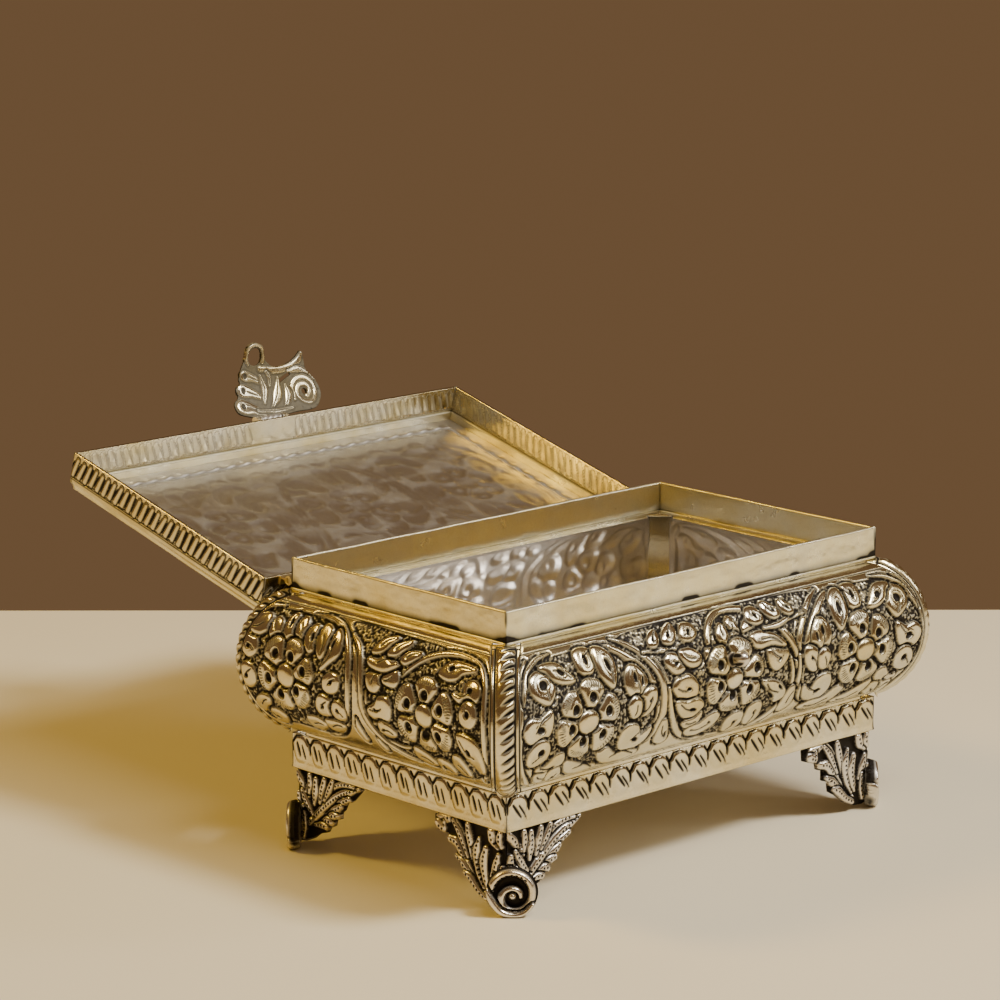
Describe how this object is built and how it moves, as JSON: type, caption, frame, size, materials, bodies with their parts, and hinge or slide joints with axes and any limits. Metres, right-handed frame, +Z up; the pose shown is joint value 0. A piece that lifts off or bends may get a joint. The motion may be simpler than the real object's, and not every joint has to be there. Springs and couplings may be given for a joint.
{
  "type": "paan box",
  "caption": "Open silver-plated paan box: chased bulging sides, roped corners, acanthus scroll feet, plain collar and a hinged fluted lid with a leaf hasp.",
  "frame": {"origin": "centre of the bounding box of the open box, on the table", "axes": "+X along the box to the right seen from the hasp's side, +Y from the front to the opened lid at the back, +Z up"},
  "size_m": [0.2016, 0.2432, 0.1418],
  "materials": {
    "chased_silver": "white metal with silver plate, chased in relief, polished on the high spots and blackened in the sunk ground",
    "plain_silver": "plain silver-plated sheet, satin with fine scratches, a yellowish tarnish and dark solder along the seams",
    "cast_silver": "cast white metal with silver plate, bright on the ridges and almost black in the recesses"
  },
  "bodies": {
    "box": {"base_plate": "plain_silver", "plinth_front": "chased_silver", "plinth_right": "chased_silver", "plinth_back": "chased_silver", "plinth_left": "chased_silver", "panel_front": "chased_silver", "panel_right": "chased_silver", "panel_back": "chased_silver", "panel_left": "chased_silver", "corner_strip_front_left": "chased_silver", "corner_strip_front_right": "chased_silver", "corner_strip_back_right": "chased_silver", "corner_strip_back_left": "chased_silver", "ledge_front": "plain_silver", "ledge_right": "plain_silver", "ledge_back": "plain_silver", "ledge_left": "plain_silver", "collar_front": "plain_silver", "collar_right": "plain_silver", "collar_back": "plain_silver", "collar_left": "plain_silver", "foot_front_left": "cast_silver", "foot_front_right": "cast_silver", "foot_back_right": "cast_silver", "foot_back_left": "cast_silver", "catch_stud": "cast_silver", "hinge_leaf_body": "plain_silver", "hinge_pin": "plain_silver"},
    "lid": {"lid_top": "chased_silver", "lid_skirt_front": "chased_silver", "lid_skirt_right": "chased_silver", "lid_skirt_back": "chased_silver", "lid_skirt_left": "chased_silver", "lid_border_front": "plain_silver", "lid_border_right": "plain_silver", "lid_border_back": "plain_silver", "lid_border_left": "plain_silver", "hinge_leaf_lid": "plain_silver", "hasp_bracket": "cast_silver", "hasp_pin": "cast_silver"},
    "hasp": {"hasp": "cast_silver"}
  },
  "joints": [
    {"name": "lid_hinge", "type": "hinge", "parent": "box", "child": "lid", "pos_m": [0, 0.00569, 0.08775], "axis": [1, 0, 0], "range_deg": [0, 165.04]},
    {"name": "hasp_hinge", "type": "hinge", "parent": "lid", "child": "hasp", "pos_m": [0, 0.11153, 0.11503], "axis": [1, 0, 0], "range_deg": [-90, 2]}
  ]
}
